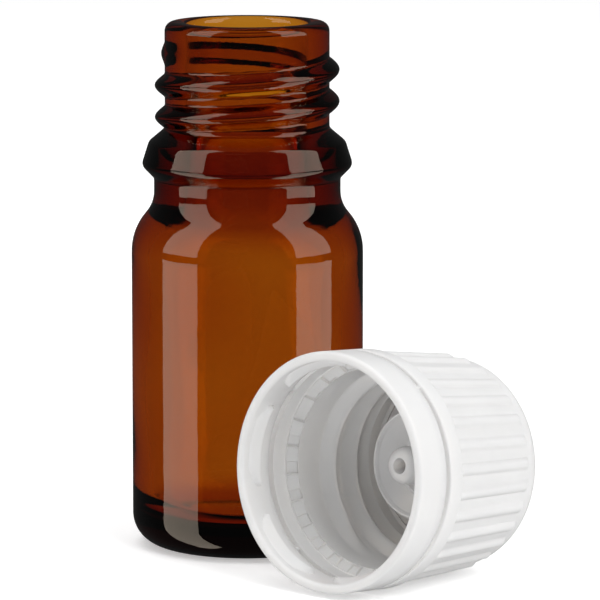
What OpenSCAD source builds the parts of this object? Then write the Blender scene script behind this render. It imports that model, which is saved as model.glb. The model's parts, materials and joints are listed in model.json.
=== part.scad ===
// Dropper vial: amber glass vial with a screw neck, and its white tamper-evident closure
// lying on its side in front of it, as it comes before the first use.
// The closure's pieces are drawn upright on their open rim, and lay_down() places them.

/* [Vial] */
// Outside diameter of the glass body
body_d = 22; // [16:0.5:40]
// Height of the glass from the table to the mouth
vial_h = 50; // [42:0.5:110]
// Thickness of the body wall
glass_wall = 1.8; // [0.8:0.1:2.5]
// Thickness of the glass floor
floor_t = 3.2; // [1.5:0.1:4]
// Radius of the outside heel
heel_r = 3; // [1:0.25:5]
// Rise of the underside within its standing ring
push_up = 0.5; // [0:0.1:1.5]

/* [Neck] */
// Radius of the neck between the threads
neck_r = 7.8; // [6:0.1:12]
// Radius of the bore through the neck
bore_r = 5.7; // [3:0.1:9]
// Radius over the thread crests
crest_r = 8.75; // [6.5:0.05:13]
// Rise of the thread in one turn
pitch = 3; // [1.5:0.25:5]
// Largest radius of the bead that holds the tamper band
bead_r = 9.95; // [8:0.05:14]
// Radius of the waist under the bead
waist_r = 8.85; // [7:0.05:12]

/* [Closure] */
// Outside diameter of the band and of the cap's flange
cap_d = 22; // [18:0.5:34]
// Height of the closure, band included
cap_h = 19.3; // [12:0.1:30]
// Height of the tamper band
band_h = 3.7; // [2:0.1:6]
// Gap that the breakable bridges span
slit = 0.55; // [0.2:0.05:1]
// Grip ribs round the cap
rib_count = 30; // [12:1:60]
// Breakable bridges between band and cap
bridge_count = 4; // [3:1:24]
// Catches inside the tamper band
catch_count = 6; // [4:1:12]

/* [Dropper insert] */
// Radius of the insert's flange
flange_r = 7.75; // [6:0.05:12]
// Radius of the insert's plug in the neck
plug_r = 5.65; // [3:0.05:9]
// Radius of the drop hole at its outlet
drop_hole_r = 0.5; // [0.3:0.05:1]

/* [Where the closure lies] */
// Rim centre, sideways from the vial's axis
lie_x = 7.4; // [-40:0.1:40]
// Rim centre, in front of the vial's axis
lie_y = -25.5; // [-60:0.1:-10]
// Heading of the closure's top, turned from +X towards +Y
heading = 49.1; // [0:0.1:90]

/* [Hidden] */
$fn = 96;

amber = [0.42, 0.19, 0.02, 0.9];
cap_white = [0.95, 0.95, 0.94];
insert_white = [0.9, 0.91, 0.9];

body_r = body_d / 2;
cap_r = cap_d / 2;

// Shoulder: a rounded edge, then a hollow curve into the waist
shoulder_edge_r = 5.5;
shoulder_hollow_r = 3.2;
shoulder_turn = acos(1 - (body_r - waist_r) / (shoulder_edge_r + shoulder_hollow_r));
shoulder_z = vial_h - 21.8;
waist_z = shoulder_z + (shoulder_edge_r + shoulder_hollow_r) * sin(shoulder_turn);

// Bead: a 45 degree underside, a rounded edge and a long upper slope
bead_z = vial_h - 13.4;
bead_edge_r = 0.7;
bead_in = bead_r - bead_edge_r;
bead_top_z = bead_z + 3.4;

// Mouth
lip_r = 0.85;
mouth_edge_r = 0.5;

// Inside of the glass
inner_r = body_r - glass_wall;
inner_heel_r = 2.5;
inner_turn = 55;
inner_curve_r = (inner_r - bore_r) / (1 - cos(inner_turn)) / 2;
inner_shoulder_z = vial_h - 22.4;
bore_z = inner_shoulder_z + 2 * inner_curve_r * sin(inner_turn);

// Glass thread: a round ridge laid in quarter turns, sinking into the neck at both ends
ridge_r = 0.9;
ridge_path_r = crest_r - ridge_r;
ridge_quarters = 9;
ridge_start = 160;
ridge_z = vial_h - 9.2;

// Closure heights, measured from the open rim
cap_z = band_h + slit;
flange_top_z = 6.05;
mouth_z = 16.9;
seat_top_z = 18;
step_z = 5.9;

// Closure radii
skirt_in_r = 10.1;
thread_root_r = 9.2;
thread_crest_r = 8.1;
lip_room_r = 8.15;
seat_r = flange_r + 0.1;

// Cap body and grip ribs
edge_r = 0.2;
top_edge_r = 1.8;
valley_low_r = cap_r - 0.5;
valley_high_r = cap_r - 1.25;
taper = atan((valley_low_r - valley_high_r) / (cap_h - top_edge_r - flange_top_z));
rib_r = 0.6;
rib_in = 0.25;
rib_out = rib_r - rib_in;
rib_pitch = 360 / rib_count;
rib_end_z = cap_h - 2.4;
rib_edge_r = 0.3;

// Chamfer under the cap's thread, divided by thin ribs, with one shallow recess beside each rib
cell_count = 24;
chamfer_w = 0.75;
chamfer_h = 0.8;
chamfer_slope = atan(chamfer_h / chamfer_w);
chamfer_l = sqrt(chamfer_w * chamfer_w + chamfer_h * chamfer_h);
cell_rib_t = 0.16;
cell_rib_out = 0.12;
cell_rib_turn = 5.2;
recess_w = 1.05;
recess_deep = 0.15;
recess_turn = 8.85;

// Cap thread
cap_ridge_r = 0.85;
cap_ridge_path_r = thread_crest_r + cap_ridge_r;
cap_ridge_quarters = 6;
cap_ridge_start = 60;
cap_ridge_z = 10.65;

// Pin that stops the drop hole
pin_r = drop_hole_r - 0.1;
pin_h = 0.7;

// Dropper insert heights and radii
insert_rim_z = 12.7;
deck_z = 14.3;
deck_t = 0.8;
tube_z = 11.5;
tube_r = 1.8;
tip_z = 10.3;
tip_r = 0.9;
tip_hole_r = 0.72;
hole_taper_z = 13;
nozzle_r = 1.3;
gusset_t = 0.5;
gusset_r = 3.3;
vent_r = 0.3;

// Slope at which the closure lies: the flange's edge and a rib's end both touch the table
rib_edge_z = rib_end_z - rib_edge_r;
crest_high_r = valley_low_r + rib_out - (rib_edge_z - flange_top_z) * tan(taper);
lie_low = [cap_r - edge_r, flange_top_z - edge_r];
lie_high = [crest_high_r - rib_edge_r, rib_edge_z];
lie_run = norm(lie_high - lie_low);
lie_tilt = acos((rib_edge_r - edge_r) / lie_run)
    - atan2(lie_high[1] - lie_low[1], lie_low[0] - lie_high[0]);
lie_z = lie_low[0] * cos(lie_tilt) + lie_low[1] * sin(lie_tilt) + edge_r;

function arc(c, r, a0, a1, steps = 8) = [
    for (i = [0:steps]) c + r * [cos(a0 + (a1 - a0) * i / steps), sin(a0 + (a1 - a0) * i / steps)]
];

// Quarter turns of a round ridge. The first and last bend inwards, so the ridge fades out
module ridge(path_r, round_r, start_z, start_angle, quarters, fade = 1) {
    lap = 3;
    fade_r = path_r - 1.03 * fade;
    tilt = atan(pitch / (2 * PI * path_r));
    for (i = [0:quarters - 1]) {
        end = i == 0 ? 45 : -45;
        fading = i == 0 || i == quarters - 1;
        quarter_r = fading ? fade_r : path_r;
        rotate([0, 0, start_angle + 90 * i])
            translate([0, 0, start_z + pitch / 4 * i])
                rotate([tilt, 0, 0])
                    translate((path_r - quarter_r) * [cos(end), sin(end), 0])
                        rotate([0, 0, -45 - lap])
                            rotate_extrude(angle = 90 + 2 * lap)
                                translate([quarter_r, 0])
                                    circle(r = round_r, $fn = 24);
    }
}

module glass_vial() {
    standing_r = body_r - heel_r;
    outside = concat(
        [[0, push_up], [standing_r - 2.4, push_up], [standing_r - 1.2, 0]],
        arc([standing_r, heel_r], heel_r, -90, 0),
        arc([body_r - shoulder_edge_r, shoulder_z], shoulder_edge_r, 0, shoulder_turn),
        arc([waist_r + shoulder_hollow_r, waist_z], shoulder_hollow_r, 180 + shoulder_turn, 180),
        [[waist_r, bead_z - 1.4]],
        arc([bead_in, bead_z], bead_edge_r, -50, 12),
        arc([bead_in - 0.35, bead_z + 1.75], 0.5, 18, 45, 3),
        [[neck_r + 0.2, bead_top_z - 0.25], [neck_r, bead_top_z]],
        arc([neck_r - lip_r, vial_h - lip_r], lip_r, 0, 90)
    );
    inside = concat(
        arc([bore_r + mouth_edge_r, vial_h - mouth_edge_r], mouth_edge_r, 90, 180),
        arc([bore_r + inner_curve_r, bore_z], inner_curve_r, 180, 180 + inner_turn),
        arc([inner_r - inner_curve_r, inner_shoulder_z], inner_curve_r, inner_turn, 0),
        arc([inner_r - inner_heel_r, floor_t + inner_heel_r], inner_heel_r, 0, -90),
        [[0, floor_t]]
    );
    color(amber) {
        rotate_extrude()
            polygon(concat(outside, inside));
        ridge(ridge_path_r, ridge_r, ridge_z, ridge_start, ridge_quarters);
    }
}

module lay_down() {
    translate([lie_x, lie_y, lie_z])
        rotate([0, 90 + lie_tilt, heading])
            children();
}

// One rib is a round bar sloped like the cap's side
module grip_ribs() {
    crest_low_r = valley_low_r + rib_out;
    envelope = concat(
        [[valley_high_r - 0.5, flange_top_z - 0.1], [crest_low_r, flange_top_z - 0.1]],
        arc(lie_high, rib_edge_r, taper, 90),
        [[valley_high_r - 0.5, rib_end_z]]
    );
    bar_h = rib_end_z - flange_top_z + 2;
    intersection() {
        rotate_extrude()
            polygon(envelope);
        union() {
            for (i = [0:rib_count - 1])
                rotate([0, 0, rib_pitch * i])
                    translate([valley_low_r - rib_in, 0, flange_top_z])
                        rotate([0, -taper, 0])
                            translate([0, 0, -1])
                                cylinder(r = rib_r, h = bar_h, $fn = 24);
        }
    }
}

module chamfer_bars(width, below, above, turn) {
    bar_l = chamfer_l - 0.06;
    for (i = [0:cell_count - 1])
        rotate([0, 0, turn + 360 / cell_count * i])
            translate([thread_root_r + chamfer_w / 2, 0, step_z + chamfer_h / 2])
                rotate([0, chamfer_slope, 0])
                    translate([-bar_l / 2, -width / 2, -below])
                        cube([bar_l, width, below + above]);
}

module screw_cap() {
    lip_z = mouth_z - 1.3;
    outside = concat(
        [[skirt_in_r, cap_z]],
        arc([cap_r - edge_r, cap_z + edge_r], edge_r, -90, 0, 3),
        arc([cap_r - edge_r, flange_top_z - edge_r], edge_r, 0, 90, 3),
        [[valley_low_r, flange_top_z]],
        arc([valley_high_r - top_edge_r, cap_h - top_edge_r], top_edge_r, taper, 90),
        [[0, cap_h]]
    );
    inside = [
        [0, seat_top_z], [seat_r, seat_top_z], [seat_r, mouth_z + 0.1], [lip_room_r, mouth_z],
        [lip_room_r, lip_z], [thread_root_r, lip_z - 0.6], [thread_root_r, step_z + chamfer_h],
        [thread_root_r + chamfer_w, step_z], [skirt_in_r, step_z]
    ];
    color(cap_white)
        lay_down() {
            difference() {
                rotate_extrude()
                    polygon(concat(outside, inside));
                chamfer_bars(recess_w, 0.3, recess_deep, recess_turn);
            }
            chamfer_bars(cell_rib_t, cell_rib_out, 0.25, cell_rib_turn);
            grip_ribs();
            intersection() {
                ridge(cap_ridge_path_r, cap_ridge_r, cap_ridge_z, cap_ridge_start, cap_ridge_quarters, -0.8);
                cylinder(r = thread_root_r + 0.3, h = mouth_z);
            }
            translate([0, 0, seat_top_z - pin_h])
                cylinder(r = pin_r, h = pin_h + 0.2, $fn = 24);
        }
}

module tamper_band() {
    lip = 0.35;
    catch_span = 45;
    catch_turn = 15.5;
    catch = [
        [skirt_in_r + 0.2, 0.4], [skirt_in_r - 0.5, 1.8], [skirt_in_r - 0.5, 2.1],
        [skirt_in_r + 0.2, 2.3]
    ];
    color(cap_white)
        lay_down() {
            rotate_extrude()
                polygon(concat(
                    [[skirt_in_r, band_h], [skirt_in_r, lip]],
                    arc([skirt_in_r + lip, lip], lip, 180, 270, 4),
                    arc([cap_r - lip, lip], lip, -90, 0, 4),
                    [[cap_r, band_h]]
                ));
            for (i = [0:catch_count - 1])
                rotate([0, 0, catch_turn + 360 / catch_count * i])
                    rotate_extrude(angle = catch_span)
                        polygon(catch);
        }
}

module break_bridges() {
    bridge_w = 0.5;
    bridge_t = 0.45;
    bridge_turn = 39;
    color(cap_white)
        lay_down()
            for (i = [0:bridge_count - 1])
                rotate([0, 0, bridge_turn + 360 / bridge_count * i])
                    translate([skirt_in_r + 0.2, -bridge_w / 2, band_h])
                        cube([bridge_t, bridge_w, slit]);
}

module dropper_insert() {
    deck_top_z = deck_z + deck_t;
    cup_r = plug_r - 0.9;
    section = [
        [tip_hole_r, tip_z], [tip_r, tip_z], [tube_r - 0.45, tip_z + 0.45], [tube_r - 0.15, tip_z + 0.85],
        [tube_r, tube_z], [tube_r, deck_z], [tube_r + 0.5, deck_z],
        [cup_r, insert_rim_z + 0.3], [cup_r + 0.15, insert_rim_z], [plug_r - 0.6, insert_rim_z],
        [plug_r - 0.5, insert_rim_z + 0.15], [plug_r, deck_top_z], [plug_r, mouth_z],
        [flange_r - 0.15, mouth_z], [flange_r, mouth_z + 0.15], [flange_r, seat_top_z - 0.15],
        [flange_r - 0.15, seat_top_z], [plug_r + 0.2, seat_top_z], [cup_r + 0.2, seat_top_z - 0.5],
        [cup_r, deck_top_z], [tube_r + 0.3, deck_top_z], [nozzle_r, seat_top_z - 0.3],
        [drop_hole_r, seat_top_z - 0.3], [drop_hole_r, hole_taper_z]
    ];
    gusset = [
        [tube_r - 0.4, tube_z], [tube_r, tube_z], [gusset_r, insert_rim_z + 0.8],
        [gusset_r, deck_z + 0.2], [tube_r - 0.4, deck_z + 0.2]
    ];
    color(insert_white)
        lay_down()
            difference() {
                union() {
                    rotate_extrude()
                        polygon(section);
                    for (i = [0:1])
                        rotate([90, 0, 180 * i])
                            translate([0, 0, -gusset_t / 2])
                                linear_extrude(gusset_t)
                                    polygon(gusset);
                }
                translate([0, -(tube_r + cup_r) / 2, deck_z - 1])
                    cylinder(r = vent_r, h = deck_t + 2, $fn = 24);
            }
}

glass_vial();
screw_cap();
tamper_band();
break_bridges();
dropper_insert();
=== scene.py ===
import json
import math

import bmesh
import bpy
import numpy as np
from mathutils import Matrix, Vector

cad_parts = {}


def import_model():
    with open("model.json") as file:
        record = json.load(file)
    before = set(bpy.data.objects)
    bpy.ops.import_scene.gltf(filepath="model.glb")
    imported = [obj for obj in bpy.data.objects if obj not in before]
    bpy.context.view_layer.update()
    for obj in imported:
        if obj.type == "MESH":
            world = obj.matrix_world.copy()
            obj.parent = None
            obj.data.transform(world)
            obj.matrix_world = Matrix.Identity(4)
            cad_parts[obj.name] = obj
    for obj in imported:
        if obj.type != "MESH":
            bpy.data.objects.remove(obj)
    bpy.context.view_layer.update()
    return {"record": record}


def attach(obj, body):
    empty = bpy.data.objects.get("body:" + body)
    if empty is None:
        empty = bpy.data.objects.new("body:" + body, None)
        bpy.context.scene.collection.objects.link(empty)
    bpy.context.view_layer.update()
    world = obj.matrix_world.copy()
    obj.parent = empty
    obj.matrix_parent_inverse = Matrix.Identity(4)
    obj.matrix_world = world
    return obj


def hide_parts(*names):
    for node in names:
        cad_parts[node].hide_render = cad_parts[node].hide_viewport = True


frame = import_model()

MM = 0.001
TAU = 2 * math.pi

# ---------------------------------------------------------------- placement


def closure_matrix():
    """Rest placement of the closure: origin at its open rim's centre, +Z to its closed end, +X down."""
    turn = next(j for j in frame["record"]["behaviour"]["joints"] if j["name"] == "cap_turn")
    axis = Vector(turn["axis"]).normalized()
    rim = Vector(turn["pos_m"]) - axis * 0.010
    down = Vector((0, 0, -1))
    across = (down - axis * down.dot(axis)).normalized()
    side = axis.cross(across)
    m = Matrix.Identity(4)
    for i in range(3):
        m[i][0], m[i][1], m[i][2], m[i][3] = across[i], side[i], axis[i], rim[i]
    return m


CLOSURE = closure_matrix()

# ---------------------------------------------------------------- mesh tools


def arc(c, r, a0, a1, n=12):
    a = np.radians(np.linspace(a0, a1, n + 1))
    return [(c[0] + r * math.cos(t), c[1] + r * math.sin(t)) for t in a]


def resample(points, step, soften=0.0, keep_ends=True):
    """Points along a line of (r, z), evenly spaced and with their corners rounded."""
    p = np.array(points, float)
    d = np.r_[0, np.cumsum(np.hypot(*np.diff(p, axis=0).T))]
    n = max(int(d[-1] / step), 2)
    s = np.linspace(0, d[-1], n + 1)
    q = np.column_stack([np.interp(s, d, p[:, 0]), np.interp(s, d, p[:, 1])])
    if soften:
        k = int(3 * soften / step)
        w = np.exp(-0.5 * (np.arange(-k, k + 1) * step / soften) ** 2)
        w /= w.sum()
        first, last = q[0], q[-1]
        padded = np.vstack([2 * first - q[k:0:-1], q, 2 * last - q[-2:-k - 2:-1]])
        q = np.column_stack([np.convolve(padded[:, i], w, "valid") for i in (0, 1)])
        if keep_ends:
            q[0], q[-1] = first, last
    return q


def thin_out(points, tol):
    """Drops points that lie within tol of the line between their neighbours (Douglas-Peucker)."""
    keep = np.zeros(len(points), bool)
    keep[[0, -1]] = True
    todo = [(0, len(points) - 1)]
    while todo:
        a, b = todo.pop()
        if b - a < 2:
            continue
        d = points[b] - points[a]
        length = np.hypot(*d) or 1e-9
        off = np.abs(np.cross(d, points[a + 1:b] - points[a])) / length
        i = int(off.argmax())
        if off[i] > tol:
            m = a + 1 + i
            keep[m] = True
            todo += [(a, m), (m, b)]
    return points[keep]


def fill_in(points, longest):
    """Adds points so that no step is longer than longest(z) of its middle."""
    out = [points[0]]
    for a, b in zip(points[:-1], points[1:]):
        n = max(1, math.ceil(np.hypot(*(b - a)) / longest((a[1] + b[1]) / 2, (a[0] + b[0]) / 2)))
        for i in range(1, n + 1):
            out.append(a + (b - a) * i / n)
    return np.array(out)


def loft(name, rings, poles=True, sharp=None, matrix=None):
    """A closed mesh from rings of points in mm, each ring joined to the next.

    With poles, the first and last ring shrink to points. Without, the last ring joins the first.
    """
    n, m, _ = rings.shape
    if poles:
        ends = [ring.mean(axis=0)[None] for ring in (rings[0], rings[-1])]
        verts = np.vstack([ends[0], rings[1:-1].reshape(-1, 3), ends[1]])
        faces = []
        k = np.arange(m)
        nxt = (k + 1) % m
        base = 1
        for a, b in zip(k, nxt):
            faces.append((0, base + b, base + a))
        for i in range(n - 3):
            s, t = base + i * m, base + (i + 1) * m
            faces += [(s + a, s + b, t + b, t + a) for a, b in zip(k, nxt)]
        s, last = base + (n - 3) * m, len(verts) - 1
        faces += [(s + a, s + b, last) for a, b in zip(k, nxt)]
    else:
        verts = rings.reshape(-1, 3)
        k = np.arange(m)
        nxt = (k + 1) % m
        faces = []
        for i in range(n):
            s, t = i * m, ((i + 1) % n) * m
            faces += [(s + a, s + b, t + b, t + a) for a, b in zip(k, nxt)]
    return solid(name, verts, faces, sharp, matrix)


def solid(name, verts, faces, sharp=None, matrix=None):
    verts = np.asarray(verts) * MM
    if matrix is not None:
        m = np.array(matrix)
        verts = verts @ m[:3, :3].T + m[:3, 3]
    mesh = bpy.data.meshes.new(name)
    mesh.from_pydata(verts.tolist(), [], [tuple(map(int, f)) for f in faces])
    mesh.update()
    bm = bmesh.new()
    bm.from_mesh(mesh)
    bmesh.ops.recalc_face_normals(bm, faces=bm.faces)
    if bm.calc_volume(signed=True) < 0:
        bmesh.ops.reverse_faces(bm, faces=bm.faces)
    bm.to_mesh(mesh)
    bm.free()
    mesh.shade_smooth()
    if sharp:
        mesh.set_sharp_from_angle(angle=math.radians(sharp))
    ob = bpy.data.objects.new(name, mesh)
    bpy.context.scene.collection.objects.link(ob)
    return ob


def revolve(profile, angles, radial=None, along=None):
    """Rings of points: profile (r, z) swept round angles (radians).

    radial(r, z, a) and along(r, z, a) add to r and z.
    """
    r, z = profile[:, 0][:, None], profile[:, 1][:, None]
    a = angles[None, :]
    rr = r + (radial(r, z, a) if radial else 0 * a)
    zz = z + (along(r, z, a) if along else 0 * a)
    rr = rr + 0 * a
    zz = zz + 0 * rr
    return np.stack([rr * np.cos(a), rr * np.sin(a), zz], axis=-1)


def bump(x, power=1.0):
    """1 at x = 0, smoothly down to 0 at |x| = 1."""
    return (0.5 + 0.5 * np.cos(np.pi * np.clip(np.abs(x), 0, 1))) ** power


def smooth_step(x):
    x = np.clip(x, 0, 1)
    return x * x * (3 - 2 * x)


def helix_ridge(z, angle, start_deg, end_deg, z_at_start, pitch, half, power, fade_deg):
    """Height 0..1 of a helical ridge over the surface point (z, angle)."""
    deg = np.degrees(angle) % 360
    height = np.zeros(np.broadcast(z, deg).shape)
    for lap in range(-1, int(end_deg // 360) + 2):
        path = deg + 360 * lap
        inside = smooth_step((path - start_deg) / fade_deg) * smooth_step((end_deg - path) / fade_deg)
        centre = z_at_start + pitch * (path - start_deg) / 360
        height = np.maximum(height, bump((z - centre) / half, power) * inside)
    return height


# ---------------------------------------------------------------- materials


def new_material(name):
    mat = bpy.data.materials.new(name)
    mat.use_nodes = True
    nt = mat.node_tree
    shader = nt.nodes["Principled BSDF"]
    out = nt.nodes["Material Output"]
    return mat, nt, shader, out


def add(nt, kind, **sockets):
    node = nt.nodes.new(kind)
    for key, value in sockets.items():
        node.inputs[key.replace("_", " ")].default_value = value
    return node


def object_coords(nt):
    return nt.nodes.new("ShaderNodeTexCoord").outputs["Object"]


def noise(nt, coords, scale, detail=3.0, rough=0.5, stretch=None):
    n = nt.nodes.new("ShaderNodeTexNoise")
    n.inputs["Scale"].default_value = scale
    n.inputs["Detail"].default_value = detail
    n.inputs["Roughness"].default_value = rough
    if stretch:
        mapping = nt.nodes.new("ShaderNodeMapping")
        mapping.inputs["Scale"].default_value = stretch
        nt.links.new(coords, mapping.inputs["Vector"])
        coords = mapping.outputs["Vector"]
    nt.links.new(coords, n.inputs["Vector"])
    return n.outputs["Fac"]


def ramp(nt, fac, stops):
    r = nt.nodes.new("ShaderNodeValToRGB")
    while len(r.color_ramp.elements) < len(stops):
        r.color_ramp.elements.new(0.5)
    for e, (pos, colour) in zip(r.color_ramp.elements, stops):
        e.position = pos
        e.color = (*colour, 1) if len(colour) == 3 else colour
    nt.links.new(fac, r.inputs["Fac"])
    return r.outputs["Color"]


def map_range(nt, fac, lo, hi):
    m = nt.nodes.new("ShaderNodeMapRange")
    m.inputs["To Min"].default_value = lo
    m.inputs["To Max"].default_value = hi
    nt.links.new(fac, m.inputs["Value"])
    return m.outputs["Result"]


def bump_node(nt, height, strength, distance, normal=None):
    b = nt.nodes.new("ShaderNodeBump")
    b.inputs["Strength"].default_value = strength
    b.inputs["Distance"].default_value = distance
    nt.links.new(height, b.inputs["Height"])
    if normal is not None:
        nt.links.new(normal, b.inputs["Normal"])
    return b.outputs["Normal"]


def amber_glass():
    """Moulded amber glass: clear at the surface, coloured by depth, with a mould's faint waves."""
    mat, nt, sh, out = new_material("amber_glass")
    co = object_coords(nt)
    sh.inputs["Base Color"].default_value = (1, 1, 1, 1)
    sh.inputs["Transmission Weight"].default_value = 1.0
    sh.inputs["IOR"].default_value = 1.52
    waves = noise(nt, co, 130, 2.0, 0.45, (1, 1, 0.35))
    fine = noise(nt, co, 1900, 2.0, 0.5)
    normal = bump_node(nt, waves, 0.35, 0.00012)
    normal = bump_node(nt, fine, 0.22, 0.00001, normal)
    nt.links.new(normal, sh.inputs["Normal"])
    handled = noise(nt, co, 60, 5.0, 0.6)
    nt.links.new(map_range(nt, handled, 0.0, 0.035), sh.inputs["Roughness"])
    vol = add(nt, "ShaderNodeVolumeAbsorption", Color=(0.845, 0.625, 0.0, 1), Density=2000.0)
    nt.links.new(vol.outputs["Volume"], out.inputs["Volume"])
    return mat


def cap_plastic(name, base, rough, grain):
    """White moulded plastic: slightly translucent, with a fine spark texture and faint flow marks."""
    mat, nt, sh, _ = new_material(name)
    co = object_coords(nt)
    cloud = noise(nt, co, 220, 4.0, 0.55)
    dark = tuple(c * 0.965 for c in base)
    nt.links.new(ramp(nt, cloud, [(0.3, dark), (0.7, base)]), sh.inputs["Base Color"])
    flow = noise(nt, co, 180, 3.0, 0.5, (1, 1, 0.2))
    nt.links.new(map_range(nt, flow, rough - 0.05, rough + 0.08), sh.inputs["Roughness"])
    spark = noise(nt, co, 5200, 2.0, 0.6)
    normal = bump_node(nt, spark, grain, 0.000012)
    normal = bump_node(nt, flow, 0.12, 0.00004, normal)
    nt.links.new(normal, sh.inputs["Normal"])
    sh.inputs["IOR"].default_value = 1.49
    sh.inputs["Subsurface Weight"].default_value = 0.06
    sh.inputs["Subsurface Radius"].default_value = (1.0, 0.95, 0.9)
    sh.inputs["Subsurface Scale"].default_value = 0.0004
    return mat


# ---------------------------------------------------------------- glass vial


def build_vial():
    outer = (
        [(0, 0.5), (5.2, 0.5), (5.75, 0.42), (6.5, 0.08), (6.9, 0)]
        + arc((8, 3), 3, -90, 0, 16)
        + arc((5.5, 28.2), 5.5, 0, 41.15, 14)
        + arc((12.05, 33.92), 3.2, 221.15, 180, 10)
        + [(8.85, 35.2)]
        + arc((9.25, 36.6), 0.7, -50, 12, 8)
        + arc((8.9, 38.35), 0.5, 18, 45, 4)
        + [(8.0, 39.75), (7.8, 40.0)]
        + arc((6.95, 49.15), 0.85, 0, 90, 10)
    )
    inner = (
        arc((6.2, 49.5), 0.5, 90, 180, 8)
        + arc((9.804, 34.32), 4.104, 180, 235, 14)
        + arc((5.096, 27.6), 4.104, 55, 0, 14)
        + arc((6.7, 5.7), 2.5, 0, -90, 12)
        + [(0, 3.2)]
    )
    line = resample(outer + inner, 0.02, soften=0.14)
    line = thin_out(line, 0.0025)
    line = fill_in(line, lambda z, r: 0.13 if 39.6 < z < 49.3 and r > 6.6 else 1.2)
    angles = np.linspace(0, TAU, 256, endpoint=False)
    split = int(np.argmax(line[:, 1]))  # rings up to here are outside

    def radial(r, z, a):
        index = np.arange(len(r))[:, None]
        outside = index <= split
        thread = 0.95 * helix_ridge(z, a, 115, 925, 40.8 + 3 * (115 - 160) / 360, 3.0, 1.12, 0.55, 70)
        on_neck = outside & (z > 39.5) & (z < 49.6) & (r > 6.9)
        add_r = np.where(on_neck, np.maximum(7.8 + thread - r, 0) * (thread > 0), 0)
        wave = (
            0.10 * np.sin(2 * a + 0.09 * z + 0.6)
            + 0.06 * np.sin(3 * a - 0.16 * z + 2.1)
            + 0.04 * np.sin(5 * a + 0.31 * z)
            + 0.05 * np.sin(0.42 * z + 1.3)
        )
        body = smooth_step((z - 5) / 5) * smooth_step((33 - z) / 6)
        return add_r + np.where(outside, 0, wave * body)

    ob = loft("vial_glass", revolve(line, angles, radial))
    ob.data.materials.append(amber_glass())
    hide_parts("glass_vial")
    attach(ob, "glass_vial_body")
    return ob


# ---------------------------------------------------------------- closure

RIBS = 30
CELLS = 24


def column_angles(spans, step_deg):
    """Angles round the axis: the given ones (degrees) and others between, at most step_deg apart."""
    marks = sorted({round(s % 360, 4) for s in spans})
    out = []
    for a, b in zip(marks, marks[1:] + [marks[0] + 360]):
        n = max(1, math.ceil((b - a) / step_deg - 1e-6))
        out += [a + (b - a) * i / n for i in range(n)]
    return np.radians(np.array(out))


def off_centre(angle, count, turn=0.0):
    """Signed degrees from the nearest of count evenly spaced directions, the first at turn."""
    pitch = 360 / count
    deg = (np.degrees(angle) - turn) % pitch
    return np.where(deg > pitch / 2, deg - pitch, deg)


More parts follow.
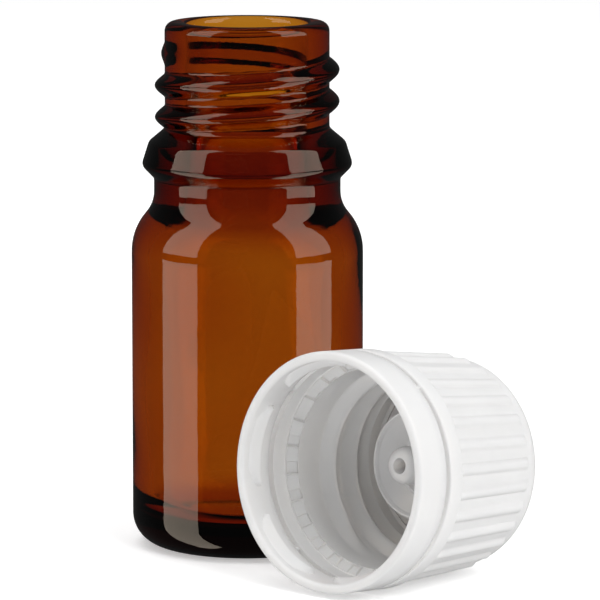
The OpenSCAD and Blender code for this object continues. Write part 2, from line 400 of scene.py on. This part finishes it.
def build_cap(mat):
    marks = []
    for i in range(CELLS):
        for centre, half, edge in ((15 * i + 5.2, 0.25, 0.35), (15 * i + 8.85, 2.8, 0.4)):
            marks += [centre - half - edge, centre - half, centre + half, centre + half + edge]
    for i in range(RIBS):
        marks += [12 * i, 12 * i + 6]
    angles = column_angles(marks, 0.8)

    taper = math.radians(3.75)
    outer = np.array(
        [(10.1, 4.25)]
        + arc((10.8, 4.45), 0.2, -90, 0, 4)
        + arc((10.8, 5.85), 0.2, 0, 75, 4)
        + [(10.62, 6.06), (10.5, 6.2)]
    )
    side = np.array([(10.5 - (z - 6.05) * math.tan(taper), z) for z in np.arange(6.45, 16.2, 0.5)])
    ends = np.array([(10.5 - (z - 6.05) * math.tan(taper), z) for z in np.arange(16.2, 17.42, 0.09)])
    dome = np.array(arc((7.95, 17.5), 1.8, 3.75, 90, 14))
    top = np.array(
        [(6.2, 19.3), (4.0, 19.3), (2.2, 19.3), (1.25, 19.3), (1.1, 19.27), (1.0, 19.18), (0.9, 19.12)]
        + [(0.4, 19.1), (0, 19.1)]
    )
    outer = np.vstack([outer, side, ends, dome, top])[::-1]
    skirt = np.array([(10.1, 4.6), (10.1, 5.3), (10.1, 5.78), (10.08, 5.86), (10.02, 5.9), (9.98, 5.9)])
    chamfer = np.array([(9.95, 5.9), (9.9, 5.953), (9.575, 6.3), (9.25, 6.647), (9.2, 6.7)])
    wall = np.array([(9.2, z) for z in np.arange(6.85, 14.95, 0.13)])
    deep = np.array(
        [(9.2, 15.0), (9.1, 15.07), (8.25, 15.55), (8.15, 15.65), (8.15, 16.85), (8.08, 16.92), (7.85, 17.0)]
        + [(7.85, 17.9), (7.75, 18.0), (4.0, 18.0), (1.2, 18.0), (0.5, 18.0)]
        + [(0.4, 17.95), (0.4, 17.38), (0.3, 17.3), (0, 17.3)]
    )
    n_out, n_skirt = len(outer), len(skirt)
    line = np.vstack([outer, skirt, chamfer, wall, deep])
    index = np.arange(len(line))[:, None]
    rib_x = np.radians(off_centre(angles, RIBS))
    cell_rib = smooth_step((0.6 - np.abs(off_centre(angles, CELLS, 5.2))) / 0.35)
    recess = smooth_step((3.2 - np.abs(off_centre(angles, CELLS, 8.85))) / 0.4)
    lift = (0.12 * cell_rib - 0.10 * (1 - cell_rib) - 0.15 * recess)[None, :]
    first = n_out + n_skirt

    def on_chamfer(r, z, a):
        # the cells' ribs and recesses, measured square to the chamfer
        return np.where((index > first) & (index < first + 4), lift, 0)

    def radial(r, z, a):
        outside = index < n_out
        x = np.abs(rib_x)[None, :] * r
        bar = np.sqrt(np.clip(0.6 ** 2 - x ** 2, 0, None)) - 0.25
        k = 0.10
        h = np.clip(0.5 + 0.5 * bar / k, 0, 1)
        rib = bar * h + k * h * (1 - h)
        end = np.sqrt(np.clip(1 - np.clip((z - 16.45) / 0.48, 0, 1) ** 2, 0, 1))
        start = smooth_step((z - 6.05) / 0.2)
        ribs = np.where(outside & (z > 6.1) & (z < 17.45), np.clip(rib, 0, None) * end * start, 0)
        thread = 1.1 * helix_ridge(z, a, 15, 555, 10.65 + 3 * (15 - 60) / 360, 3.0, 1.12, 0.62, 40)
        on_wall = (~outside) & (z > 6.8) & (z < 15.05) & (r > 9.1)
        return ribs - np.where(on_wall, thread, 0) - 0.729 * on_chamfer(r, z, a)

    def along(r, z, a):
        return -0.684 * on_chamfer(r, z, a)

    ob = loft("cap_shell", revolve(line, angles, radial, along), sharp=42, matrix=CLOSURE)
    ob.data.materials.append(mat)
    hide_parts("screw_cap")
    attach(ob, "cap_body")
    return ob


def build_band(mat):
    catches, start, span = 6, 15.5, 45.0
    edge, slant = 1.2, 8.0
    marks = []
    for i in range(catches):
        for end in (0, span):
            marks += [60 * i + start + end - slant - edge, 60 * i + start + end + slant + edge]
    angles = column_angles(marks, 0.75)
    line = np.array(
        arc((10.45, 0.35), 0.35, 180, 270, 6)[::-1]
        + [(10.1, 0.6), (10.1, 0.72)]
        + [(10.1, z) for z in (0.8, 0.84, 0.95, 1.1, 1.25, 1.4, 1.55, 1.7, 1.78, 1.85, 1.95)]
        + [(10.1, z) for z in (2.08, 2.14, 2.2, 2.3, 2.5, 3.1, 3.6)]
        + [(10.16, 3.68), (10.22, 3.7), (10.88, 3.7), (10.96, 3.67), (11.0, 3.6)]
        + [(11.0, 2.6), (11.0, 1.5), (11.0, 0.8)]
        + arc((10.65, 0.35), 0.35, 0, -90, 6)
    )
    deg = (np.degrees(angles)[None, :] - start) % 60

    def radial(r, z, a):
        # the catches' ends slant, so that each is longer at its crest than at its foot
        cut = slant * (1 - smooth_step((z - 0.8) / 1.1))
        inside = smooth_step(np.minimum(deg - cut, span - cut - deg) / edge)
        reach = np.interp(z, [0.8, 0.84, 1.78, 1.85, 2.05, 2.12, 2.3], [0, 0.05, 0.48, 0.5, 0.5, 0.46, 0])
        return -np.where(r < 10.15, reach * inside, 0)

    ob = loft("band_ring", revolve(line, angles, radial), poles=False, sharp=38, matrix=CLOSURE)
    ob.data.materials.append(mat)
    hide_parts("tamper_band")
    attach(ob, "band_body")
    return ob


def turned(x, y, angle):
    c, s = math.cos(angle), math.sin(angle)
    return x * c - y * s, x * s + y * c


def build_bridges(mat):
    """Four waisted tabs across the slit, as the moulding leaves them."""
    verts, faces = [], []
    rows = [(3.66, 0.27), (3.76, 0.22), (3.97, 0.16), (4.19, 0.22), (4.29, 0.27)]
    for i in range(4):
        mid = math.radians(39 + 90 * i)
        base = len(verts)
        for z, half in rows:
            for r in (10.3, 10.75):
                for s in ((-1, 1) if r < 10.5 else (1, -1)):
                    x, y = r, s * half
                    verts.append((*turned(x, y, mid), z))
        for k in range(len(rows) - 1):
            s, t = base + 4 * k, base + 4 * (k + 1)
            faces += [(s + j, s + (j + 1) % 4, t + (j + 1) % 4, t + j) for j in range(4)]
        faces.append((base + 3, base + 2, base + 1, base))
        e = base + 4 * (len(rows) - 1)
        faces.append((e, e + 1, e + 2, e + 3))
    ob = solid("band_bridges", verts, faces, sharp=50, matrix=CLOSURE)
    ob.data.materials.append(mat)
    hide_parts("break_bridges")
    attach(ob, "band_body")
    return ob


def build_insert():
    section = np.array(
        [(0.70, 10.38), (0.74, 10.31), (0.80, 10.3)]
        + arc((0.9, 11.15), 0.85, -90, -12, 8)
        + [(1.78, 11.3), (1.8, 11.5), (1.8, 14.08), (1.87, 14.22), (2.05, 14.3), (2.3, 14.3), (2.5, 14.24)]
        + [(4.66, 13.1), (4.75, 13.0), (4.9, 12.73), (4.96, 12.7), (5.05, 12.7), (5.12, 12.74), (5.16, 12.85)]
        + [(5.63, 15.0), (5.65, 15.1), (5.65, 16.8), (5.72, 16.9), (7.6, 16.9), (7.7, 16.94), (7.75, 17.05)]
        + [(7.75, 17.85), (7.7, 17.96), (7.6, 18.0), (5.9, 18.0), (5.78, 17.97), (4.98, 17.55), (4.78, 17.4)]
        + [(4.75, 17.3), (4.75, 15.25), (4.7, 15.13), (4.55, 15.1), (2.3, 15.1), (2.1, 15.14), (1.98, 15.25)]
        + [(1.34, 17.6), (1.24, 17.69), (1.1, 17.7), (0.56, 17.7), (0.5, 17.64)]
        + [(0.5, 15.5), (0.5, 13.0), (0.6, 11.7)],
        float,
    )
    angles = np.linspace(0, TAU, 144, endpoint=False)
    body = loft("insert_body_part", revolve(section, angles), poles=False, sharp=40, matrix=CLOSURE)
    return body


def build_webs():
    """The two gussets that slope from the insert's hub out to its cone."""
    verts, faces = [], []
    for i in range(2):
        mid = math.radians(180 * i)
        # side view of a gusset: (r, z), reaching a little into the hub and the cone
        shape = [(1.4, 11.5), (1.8, 11.5), (1.9, 11.56), (3.2, 13.28), (3.28, 13.42)]
        shape += [(3.3, 13.6), (3.3, 14.5), (1.4, 14.5)]
        n, base = len(shape), len(verts)
        for y in (-0.25, 0.25):
            for r, z in shape:
                verts.append((*turned(r, y, mid), z))
        faces.append(tuple(base + k for k in range(n))[::-1])
        faces.append(tuple(base + n + k for k in range(n)))
        faces += [(base + k, base + (k + 1) % n, base + n + (k + 1) % n, base + n + k) for k in range(n)]
    return solid("insert_webs_part", verts, faces, sharp=40, matrix=CLOSURE)


def finish_insert(mat):
    body = build_insert()
    combine(body, build_webs(), "UNION")
    turn = np.linspace(0, TAU, 24, endpoint=False)
    hole = np.stack([
        np.column_stack([0.3 * np.cos(turn), -3.275 + 0.3 * np.sin(turn), 0 * turn + z])
        for z in (13.0, 13.0, 15.6, 15.6)
    ])
    combine(body, loft("vent_drill", hole, matrix=CLOSURE), "DIFFERENCE")
    mesh = body.data
    mesh.shade_smooth()
    mesh.set_sharp_from_angle(angle=math.radians(36))
    body.name = "insert_moulding"
    mesh.materials.clear()
    mesh.materials.append(mat)
    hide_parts("dropper_insert")
    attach(body, "insert_body")
    return body


def combine(ob, other, how):
    """Adds other to ob or cuts it away, and removes other."""
    mod = ob.modifiers.new("combine", "BOOLEAN")
    mod.operation, mod.solver, mod.object = how, "EXACT", other
    bpy.context.view_layer.update()
    done = bpy.data.meshes.new_from_object(ob.evaluated_get(bpy.context.evaluated_depsgraph_get()))
    ob.modifiers.clear()
    ob.data = done
    bpy.data.objects.remove(other)


build_vial()
white = cap_plastic("cap_plastic", (0.90, 0.90, 0.90), 0.36, 0.10)
closure = [build_cap(white), build_band(white), build_bridges(white)]
closure.append(finish_insert(cap_plastic("insert_plastic", (0.86, 0.86, 0.865), 0.28, 0.05)))
for piece in closure:
    piece.visible_glossy = False

# ---------------------------------------------------------------- studio


def floor():
    mat, nt, sh, _ = new_material("studio_floor")
    sh.inputs["Base Color"].default_value = (0.9, 0.9, 0.9, 1)
    sh.inputs["Roughness"].default_value = 0.9
    sh.inputs["Specular IOR Level"].default_value = 0.0
    sh.inputs["Emission Color"].default_value = (1, 1, 1, 1)
    seen = nt.nodes.new("ShaderNodeLightPath").outputs["Is Camera Ray"]
    nt.links.new(map_range(nt, seen, 0.10, 0.42), sh.inputs["Emission Strength"])
    half = 1.5
    mesh = bpy.data.meshes.new("floor")
    corners = [(-half, -half, 0), (half, -half, 0), (half, half, 0), (-half, half, 0)]
    mesh.from_pydata(corners, [], [(0, 1, 2, 3)])
    ob = bpy.data.objects.new("floor", mesh)
    ob.location.z = -0.00002
    bpy.context.scene.collection.objects.link(ob)
    mesh.materials.append(mat)
    ob.visible_glossy = False
    ob.visible_transmission = False
    return ob


def softbox(name, place, aim, size, watts, colour=(1, 1, 1), seen=True, lights=True):
    data = bpy.data.lights.new(name, "AREA")
    data.shape = "RECTANGLE"
    data.size, data.size_y = size
    data.energy = watts
    data.color = colour
    ob = bpy.data.objects.new(name, data)
    ob.location = place
    ob.rotation_euler = (Vector(aim) - Vector(place)).to_track_quat("-Z", "Y").to_euler()
    ob.visible_glossy = seen
    ob.visible_diffuse = lights
    ob.visible_transmission = seen
    bpy.context.scene.collection.objects.link(ob)
    return ob


def world():
    """White to the camera. To the glass, a bright wall behind the object and a dark room in front."""
    w = bpy.data.worlds.new("studio")
    bpy.context.scene.world = w
    w.use_nodes = True
    nt = w.node_tree
    nt.nodes.clear()
    out = nt.nodes.new("ShaderNodeOutputWorld")
    way = nt.nodes.new("ShaderNodeTexCoord").outputs["Generated"]
    xyz = nt.nodes.new("ShaderNodeSeparateXYZ")
    nt.links.new(way, xyz.inputs["Vector"])
    behind = ramp(nt, xyz.outputs["Y"], [(0.10, (0.0, 0.0, 0.0)), (0.55, (1.0, 1.0, 1.0))])
    glass = nt.nodes.new("ShaderNodeBackground")
    nt.links.new(behind, glass.inputs["Color"])
    glass.inputs["Strength"].default_value = 0.82
    plain = nt.nodes.new("ShaderNodeBackground")
    plain.inputs["Color"].default_value = (1, 1, 1, 1)
    plain.inputs["Strength"].default_value = 1.0
    fill = nt.nodes.new("ShaderNodeBackground")
    fill.inputs["Color"].default_value = (1, 1, 1, 1)
    fill.inputs["Strength"].default_value = 0.26
    gloss = nt.nodes.new("ShaderNodeBackground")
    gloss.inputs["Color"].default_value = (1, 1, 1, 1)
    gloss.inputs["Strength"].default_value = 0.035
    path = nt.nodes.new("ShaderNodeLightPath")
    soft = nt.nodes.new("ShaderNodeMixShader")
    nt.links.new(path.outputs["Is Diffuse Ray"], soft.inputs["Fac"])
    nt.links.new(glass.outputs[0], soft.inputs[1])
    nt.links.new(fill.outputs[0], soft.inputs[2])
    bounced = nt.nodes.new("ShaderNodeMath")  # reflected, not refracted
    bounced.operation = "SUBTRACT"
    bounced.use_clamp = True
    nt.links.new(path.outputs["Is Glossy Ray"], bounced.inputs[0])
    nt.links.new(path.outputs["Is Transmission Ray"], bounced.inputs[1])
    shine = nt.nodes.new("ShaderNodeMixShader")
    nt.links.new(bounced.outputs[0], shine.inputs["Fac"])
    nt.links.new(soft.outputs[0], shine.inputs[1])
    nt.links.new(gloss.outputs[0], shine.inputs[2])
    top = nt.nodes.new("ShaderNodeMixShader")
    nt.links.new(path.outputs["Is Camera Ray"], top.inputs["Fac"])
    nt.links.new(shine.outputs[0], top.inputs[1])
    nt.links.new(plain.outputs[0], top.inputs[2])
    nt.links.new(top.outputs[0], out.inputs["Surface"])


def camera():
    data = bpy.data.cameras.new("camera")
    data.sensor_width = 36
    data.lens = 283.5
    data.clip_start, data.clip_end = 0.01, 50
    ob = bpy.data.objects.new("camera", data)
    bpy.context.scene.collection.objects.link(ob)
    lift, far = math.radians(8.5), 0.45
    aim = Vector((0.00500, 0, 0.0234))
    ob.location = aim + Vector((0, -math.cos(lift), math.sin(lift))) * far
    ob.rotation_euler = (aim - ob.location).to_track_quat("-Z", "Y").to_euler()
    bpy.context.scene.camera = ob


WARM = (1.0, 0.86, 0.70)
floor()
world()
camera()
BOX_OUT, BOX_FRONT, BOX_WIDE = 0.55, -0.19, 0.45
BOX_LOOK = 2.3  # radiance
SIDE_WATTS = {"left": 2.0, "right": 2.2}
for name, side in (("left", -1), ("right", 1)):
    # an upper and a lower half, with a narrow dark gap between them at the table's level
    for half, low, high in (("upper", 0.07, 1.6), ("lower", -1.6, -0.03)):
        mid, tall = (low + high) / 2, high - low
        place = (side * BOX_OUT, BOX_FRONT, mid)
        watts = BOX_LOOK * math.pi * BOX_WIDE * tall
        softbox(f"{name}_{half}", place, (0, 0, mid), (BOX_WIDE, tall), watts, WARM, lights=False)
    # the closure's own white side light, which leaves no streak on the glass
    place = (side * BOX_OUT, BOX_FRONT, 0.8)
    softbox(f"{name}_fill", place, (0, 0, 0.5), (BOX_WIDE, 1.5), SIDE_WATTS[name], seen=False)
softbox("top_box", (-0.15, 0.05, 0.80), (0, 0, 0.02), (0.7, 0.5), 2.4, seen=False)
softbox("key", (0.58, -0.85, 0.80), (0.01, -0.02, 0.01), (0.5, 0.5), 5.7, seen=False)
bpy.context.scene.view_settings.view_transform = "Standard"
